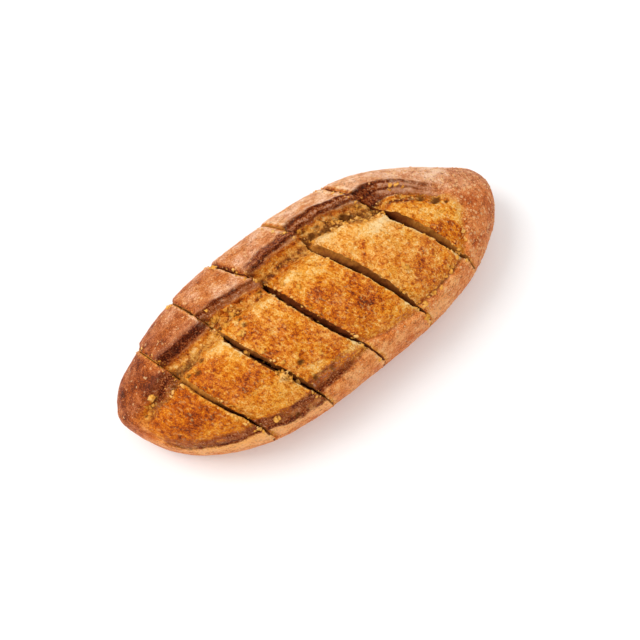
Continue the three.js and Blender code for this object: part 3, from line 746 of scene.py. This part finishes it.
speckle = add("Math", {0: small, 1: broad}, operation="ADD")

# Crumb: golden to brown, amber or pink by place, with light specks that are painted glints of butter, and
# toasted dark ones.
level = add("Math", {0: speckle, 1: named["lively"], 2: named["bake"]})
amber = add("ValToRGB", {"Fac": level}, stops=[
    (0, "#fcd38c"), (0.22, "#f3a93e"), (0.45, "#dd7b0e"),
    (0.65, "#c05806"), (0.82, "#983e08"), (1, "#622408")])
pink = add("ValToRGB", {"Fac": level}, stops=[
    (0, "#fdd9a2"), (0.22, "#f6b25a"), (0.45, "#e1812a"),
    (0.65, "#c66428"), (0.82, "#9c4620"), (1, "#6a2c16")])
shifted = add("Math", {0: patch, 1: 1.4, 2: -0.7})
blushed = add("Math", {0: shifted, 1: named["blush"]}, operation="ADD", use_clamp=True)
crumb_colour = add("Mix", {0: blushed, 6: amber, 7: pink})
torn_colour = add("ValToRGB", {"Fac": level}, stops=[
    (0, "#f6ca80"), (0.3, "#dca04a"), (0.6, "#b2702c"), (1, "#704014")])
inside = add("Mix", {0: named["valley"], 6: crumb_colour, 7: torn_colour})
# Painted highlights: small glints of butter on the crumb.
painted_glint = add("MapRange", {"Value": spark, "From Min": 0.57, "From Max": 0.7, "To Max": 0.45})
glint_strength = add("Math", {0: named["floury"], 1: 0.7, 2: 0.35})
glint_part = add("Math", {0: painted_glint, 1: glint_strength}, operation="MULTIPLY")
glinted = add("Mix", {0: glint_part, 6: inside, 7: srgb("#ffd68c")})
singe = add("MapRange", {"Value": spark, "From Min": 0.41, "From Max": 0.3, "To Max": 0.45})
singe_part = add("Math", {0: singe, 1: named["lively"]}, operation="MULTIPLY")
speckled = add("Mix", {0: singe_part, 6: glinted, 7: srgb("#8a3a16")})

# Crust: rosy or amber brown, with flecks of flour and scorch, and painted shade with a painted greyish
# reflection on it beside the ear.
wide = add("Math", {0: patch, 1: 0.7, 2: -0.35})
cloudy = add("Math", {0: broad, 1: 0.65, 2: wide})
grainy = add("Math", {0: fine, 1: 1.3, 2: cloudy})
soft = add("Math", {0: grainy, 1: 0.62, 2: named["bake"]})
rosy = add("ValToRGB", {"Fac": soft}, stops=[
    (0, "#fdd0ac"), (0.3, "#de9464"), (0.5, "#c67646"), (0.7, "#a6562e"), (0.85, "#803a1a"), (1, "#56220e")])
tan = add("ValToRGB", {"Fac": soft}, stops=[
    (0, "#ffd09a"), (0.3, "#de8a44"), (0.5, "#c86e2e"), (0.7, "#a84e14"), (0.85, "#82360c"), (1, "#562006")])
leftward = add("Math", {0: named["floury"], 1: -0.38, 2: patch})
ruddy = add("MapRange", {"Value": leftward, "From Min": 0.22, "From Max": 0.5})
crust_colour = add("Mix", {0: ruddy, 6: rosy, 7: tan})
golden = add("Mix", {0: named["near"], 6: crust_colour, 7: srgb("#ffdca4")}, blend_type="MULTIPLY")
thick = add("Math", {0: named["floury"], 1: 0.2, 2: dust})
cells = add("TexVoronoi", {"Vector": place, "Scale": 380})
round_spot = add("MapRange", {"Value": cells, "From Min": 0.4, "From Max": 0.22, "To Max": 0.65})
powdered = add("MapRange", {"Value": thick, "From Min": 0.58, "From Max": 0.68})
dusted = add("Math", {0: round_spot, 1: powdered}, operation="MULTIPLY")
floury = add("Mix", {0: dusted, 6: golden, 7: srgb("#f4c48c")})
scorch = add("MapRange", {"Value": dust, "From Min": 0.42, "From Max": 0.28, "To Max": 0.5})
toasted = add("Mix", {0: scorch, 6: floury, 7: srgb("#7c3f1c")})
# painted shade and greyish reflection beside the ear
shade_and_sheen_part = add("Math", {0: named["ear_shade_and_sheen"], 1: 0.65}, operation="MULTIPLY")
crust_with_ear_shade = add("Mix", {0: shade_and_sheen_part, 6: toasted, 7: srgb("#84503a")})
base = add("Mix", {0: named["crumb"], 6: crust_with_ear_shade, 7: speckled})

# Burnt ridges: nearly black along their lines, brown at their sides, with pale blisters that also serve as
# painted glints.
char_level = add("Math", {0: small, 1: 1.15, 2: named["ember"]})
char_colour = add("ValToRGB", {"Fac": char_level}, stops=[
    (0.0, "#2e0d04"), (0.3, "#561b06"), (0.55, "#88380c"), (0.78, "#b2652e"), (1.0, "#d09878")])
blister_and_glint = add("MapRange", {"Value": fleck, "From Min": 0.56, "From Max": 0.68, "To Max": 0.4})
blistered_and_glinting = add("Mix", {0: blister_and_glint, 6: char_colour, 7: srgb("#c08a64")})
char_edge = add("Math", {0: speckle, 1: 0.7, 2: named["burnt"]})
char_part = add("MapRange", {"Value": char_edge, "From Min": 0.1, "From Max": 0.75})
charred = add("Mix", {0: char_part, 6: base, 7: blistered_and_glinting})
# painted shade in the holes
shaded_holes = add("Mix", {0: named["hole_shade"], 6: charred, 7: srgb("#7c4818")})
bumps = add("Bump", {"Height": speckle, "Strength": 0.85, "Distance": 0.0008})
sheen = add("MapRange", {"Value": mottle, "From Min": 0.3, "From Max": 0.7, "To Min": 0.35, "To Max": 0.62})
surface = add("BsdfPrincipled", {
    "Base Color": shaded_holes, "Roughness": sheen, "Normal": bumps, "IOR": 1.45, "Specular IOR Level": 0.11})
add("OutputMaterial", {"Surface": surface})

# Cut crumb: matt, pale and porous inside the loaf, with painted shade that darkens the wall the deeper it
# lies in the cut, and brown where the knife passed through the crust.
add = partial(node, wall_finish)
place = add("TexCoord")
depth = add("Attribute", attribute_name="depth")
drawn = add("Mapping", {"Vector": place, "Scale": (1, 1, 2.5)}, vector_type="TEXTURE")
pores = add("TexNoise", {"Vector": drawn, "Scale": 650, "Detail": 4, "Roughness": 0.6})
uneven = add("Math", {0: pores, 1: 8.0, 2: -4.0})
inward = add("Math", {0: depth, 1: uneven}, operation="ADD")
# Painted shade: golden at the rim, darker the deeper it lies in the cut.
share = add("MapRange", {"Value": inward, "From Min": 0, "From Max": 9})
depth_shaded = add("ValToRGB", {"Fac": share}, stops=[
    (0, "#dc9a44"), (0.15, "#c8842e"), (0.4, "#a5662a"), (0.7, "#7c4718"), (1, "#5c320e")])
toast_and_shade = add("Attribute", attribute_name="toast_and_shade")
# toasted brown and painted shade of the deep slit
wall_colour = add("Mix", {0: toast_and_shade, 6: depth_shaded, 7: srgb("#7e3a12")})
bumps = add("Bump", {"Height": pores, "Strength": 0.7, "Distance": 0.001})
surface = add("BsdfPrincipled", {
    "Base Color": wall_colour, "Roughness": 0.8, "Normal": bumps, "IOR": 1.45, "Specular IOR Level": 0.2})
add("OutputMaterial", {"Surface": surface})
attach(loaf, "root")
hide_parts("baguette")

# ---------------------------------------------------------------------------------------------
# Grains. Coarse flour from the proving cloth, toasted on the crust: flat pale grains, mostly under a
# millimetre wide, thickest on the right end and sparse on the brown left end.
GRAIN_COUNT = 1800
SMALLEST_GRAIN = 0.2
GRAIN_SPREAD = [(0, 0.3), (90, 0.5)]  # how much larger the largest is, by X
GRAIN_DENSITY = [(-111, 0.01), (-80, 0.05), (-20, 0.5), (40, 0.7), (80, 1.3), (100, 1.5)]  # by X


def pressed_ball(name, rounds, shape):
    """A small ball, pressed to a shape."""
    bpy.ops.object.select_all(action="DESELECT")
    bpy.ops.mesh.primitive_ico_sphere_add(subdivisions=rounds, radius=1)
    pressed = bpy.context.object
    pressed.name = pressed.data.name = name
    edit_whole(bpy.ops.transform.resize, value=shape)
    return pressed


def scatter(base, spots, sizes, normals, seed):
    """One mesh with a copy of `base` at each spot, turned at random and lying along the skin."""
    chance = np.random.default_rng(seed)
    copies = []
    for spot, size, normal in zip(spots, sizes, normals):
        along = Vector(normal).to_track_quat("Z", "Y").to_matrix()
        spin = chance.uniform(0, 2 * math.pi)
        cos, sin = math.cos(spin), math.sin(spin)
        turn = np.array([(cos, -sin, 0), (sin, cos, 0), (0, 0, 1)])
        stretch = size * chance.uniform(0.75, 1.25, 3)
        copies.append((base * stretch) @ turn.T @ np.array(along).T + spot)
    return np.concatenate(copies)


def fill_with_copies(thing, points):
    """Replaces a mesh by many copies of itself, whose points are given copy after copy."""
    faces = np.array([face.vertices[:] for face in thing.data.polygons])
    count = len(thing.data.vertices)
    many = np.concatenate([faces + count * k for k in range(len(points) // count)])
    thing.data.clear_geometry()
    thing.data.from_pydata((points * MM).tolist(), [], many.tolist())
    thing.data.shade_smooth()
    thing.data.update()


faces = loaf.data.polygons
centres = read(faces, "center") / MM
face_normals = read(faces, "normal")
areas = read(faces, "area", 1)[:, 0]
material_of = np.array([face.material_index for face in faces])
face_zone = zones(centres)
plain = (1 - face_zone["crumb"]) * (material_of == 0) * smooth(3, 12, centres[:, 2])
plain = plain * (1 - 0.9 * face_zone["burnt"]) * smooth(-0.5, 0.5, field(centres, 8, 31))
dice = np.random.default_rng(11)
odds = areas * plain * value_at(GRAIN_DENSITY, centres[:, 0])
picked = dice.choice(len(faces), GRAIN_COUNT, p=odds / odds.sum())

grains = pressed_ball("grains", 1, (1.05, 0.95, 0.35))
jitter = dice.uniform(-0.3, 0.3, (len(picked), 3))
spread = value_at(GRAIN_SPREAD, centres[picked, 0])
sizes = SMALLEST_GRAIN + spread * dice.random(len(picked)) ** 2
spots = centres[picked] + jitter * 0.5
copies = scatter(get_points(grains.data), spots, sizes, face_normals[picked], 12)
fill_with_copies(grains, inside_box(copies))
flour = blank_material("toasted_flour_grain")
add = partial(node, flour)
place = add("TexCoord")
tone = add("TexNoise", {"Vector": place, "Scale": 260, "Detail": 2})
colour = add("ValToRGB", {"Fac": tone}, stops=[(0.3, "#d08a4a"), (0.5, "#e8a868"), (0.7, "#f8d09a")])
surface = add("BsdfPrincipled", {"Base Color": colour, "Roughness": 0.75, "Specular IOR Level": 0.15})
add("OutputMaterial", {"Surface": surface})
grains.data.materials.append(flour)
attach(grains, "root")

# ---------------------------------------------------------------------------------------------
# Torn chunks and crumbs. Bits of golden crumb, left by the knife and by the tear, cling to the rims
# of the cuts, the valley under the ear and the lip. The chunks lie where the real one has them.
CRUMB_COUNT = 760
SMALLEST_CRUMB, CRUMB_SPREAD = 0.32, 0.8
CHUNKS = [  # X, Y, radius
    (-46.9, 15.7, 1.4), (-39.8, 11.5, 1.6), (-45.2, 8.2, 1.2), (-42.1, 0.5, 1.5), (-40.2, 16.6, 1.3),
    (-40.7, 6.3, 1.2), (-39.5, -24.5, 1.6), (-38, -27.3, 2.3), (-36.4, -30, 1.7), (-34, -32, 1.2),
    (-52.1, -38.9, 1.6), (-45.4, -7.8, 1.3), (-39.8, -12.8, 1.2), (-34.7, -22.2, 1.1), (40.2, -20.7, 1.5),
    (37.4, -43.4, 1.6), (-31.1, 39.7, 1.3), (-60, 38, 1.2), (39.6, -38.4, 1.3), (42.9, -36.6, 0.7),
    (46.4, -36.8, 1.4), (48.6, -35.4, 0.7), (51.2, -36.6, 0.9), (56.5, -34, 0.7), (60, -33.6, 1.3),
    (61.6, -31.8, 0.8), (66.3, -29.9, 1.1), (64.2, -31.6, 0.6), (31.2, 18.4, 1.5), (31.6, 14.3, 1.4),
    (36.3, 15.5, 1.3), (25.7, 17.3, 1.2), (39.6, 15, 1.3), (39.9, 9.1, 1.2), (-93, 4.7, 1.3),
    (-97.5, 3.4, 1.1), (63.3, 19, 1.1), (66, 17, 1.2), (68.1, 14.5, 1), (61.7, 17.3, 1),
    (76.8, -21.5, 1.2), (75.9, -25.2, 1), (68.8, -27.5, 1.1), (-50.5, 14.8, 1.1), (-49.5, 8, 1.2),
    (-48.2, 20.5, 1), (-28, -24.2, 1.1), (-17.7, -28.6, 1), (12.5, 26.8, 1.1), (14.3, 18, 1),
    (-7, 2, 1.3), (-12, 8, 1.1)]


def crumb_bits(name, rounds, spots, sizes, turns, seed):
    """A ball pressed flat, copied to each spot, with all the copies then made ragged."""
    bits = pressed_ball(name, rounds, (1.15, 0.85, 0.7))
    points = scatter(get_points(bits.data), spots, sizes, turns, seed)
    own_size = np.repeat(sizes, len(bits.data.vertices))[:, None]
    for width, first, reach in ((1.1, 40, 0.9), (0.5, 50, 0.3)):
        ragged = np.stack([field(points, width, first + k) for k in range(3)], 1)
        points = points + ragged * own_size * reach
    fill_with_copies(bits, inside_box(points))
    return bits


whole = ray_target(loaf.data)
spots, turns = [], []
for x, y, radius in CHUNKS:
    hit, normal = drop(whole, x * MM, y * MM)
    spots.append(np.array(hit) / MM + (0, 0, 0.3 * radius))
    turns.append(np.array(normal))
torn_chunks = crumb_bits("torn_chunks", 3, spots, np.array(CHUNKS)[:, 2], turns, 13)
rim = smooth(1.6, 0.2, np.abs(face_zone["away"])) * (material_of == 0) * smooth(24, 32, centres[:, 2])
inner_wall = (material_of == 1) * (centres[:, 2] > 38) * (np.array(WALL_LUMPS)[face_zone["at_cut"]] > 2)
rim_odds = rim * (0.35 + face_zone["crumb"]) * np.where(face_zone["right_of_cut"], 0.7, 1.5)
odds = areas * (rim_odds + 0.4 * face_zone["valley"] + 0.12 * face_zone["torn"] + 0.06 * inner_wall)
picked = dice.choice(len(faces), CRUMB_COUNT, p=odds / odds.sum())
sizes = SMALLEST_CRUMB + CRUMB_SPREAD * dice.random(len(picked)) ** 2.5
crumbs = crumb_bits("crumbs", 1, centres[picked], sizes, face_normals[picked], 14)
torn_crumb = blank_material("torn_crumb")
add = partial(node, torn_crumb)
place = add("TexCoord")
tone = add("TexNoise", {"Vector": place, "Scale": 240, "Detail": 3})
colour = add("ValToRGB", {"Fac": tone}, stops=[(0.3, "#cc8428"), (0.5, "#eaa642"), (0.7, "#fac87a")])
rough = add("TexNoise", {"Vector": place, "Scale": 1400, "Detail": 2})
bumps = add("Bump", {"Height": rough, "Strength": 0.6, "Distance": 0.0005})
surface = add("BsdfPrincipled", {
    "Base Color": colour, "Roughness": 0.7, "Normal": bumps, "Specular IOR Level": 0.15})
add("OutputMaterial", {"Surface": surface})
for bits in (torn_chunks, crumbs):
    bits.data.materials.append(torn_crumb)
    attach(bits, "root")

# ---------------------------------------------------------------------------------------------
# Floor, light and camera. A white sweep under a broad soft light from high on the far left side,
# with a bright room all round, and a long lens that looks down steeply on the loaf.
bpy.ops.object.select_all(action="DESELECT")
bpy.ops.mesh.primitive_plane_add(size=6)
floor = bpy.context.object
floor.name = "floor"
paper = bpy.data.materials.new("matt_white_paper")
paper.use_nodes = True
paper_look = paper.node_tree.nodes["Principled BSDF"].inputs
paper_look["Base Color"].default_value = srgb("#ffffff")
paper_look["Roughness"].default_value = 0.9
floor.data.materials.append(paper)

KEY_AT = Vector((-0.5, 0.5, 1.1))
bpy.ops.object.light_add(type="AREA", location=KEY_AT)
key = bpy.context.object
key.name = "key"
key.data.size = 0.65
key.data.energy = 7.4
key.rotation_euler = KEY_AT.to_track_quat("Z", "Y").to_euler()
sky = bpy.data.worlds.new("bright_room")
bpy.context.scene.world = sky
sky.use_nodes = True
sky_look = sky.node_tree.nodes["Background"].inputs
sky_look["Color"].default_value = (1, 1, 1, 1)
sky_look["Strength"].default_value = 0.87
bpy.context.scene.view_settings.view_transform = "Standard"

azimuth, elevation, distance = math.radians(-37.9), math.radians(73), 0.6
flat = math.cos(elevation)
back = Vector((math.sin(azimuth) * flat, -math.cos(azimuth) * flat, math.sin(elevation)))
LOOKED_AT = Vector((-0.00347, -0.01033, 0.028))
bpy.ops.object.camera_add(location=LOOKED_AT + back * distance)
camera = bpy.context.object
camera.rotation_euler = back.to_track_quat("Z", "Y").to_euler()
camera.data.lens = 68
camera.data.sensor_width = 36
bpy.context.scene.camera = camera
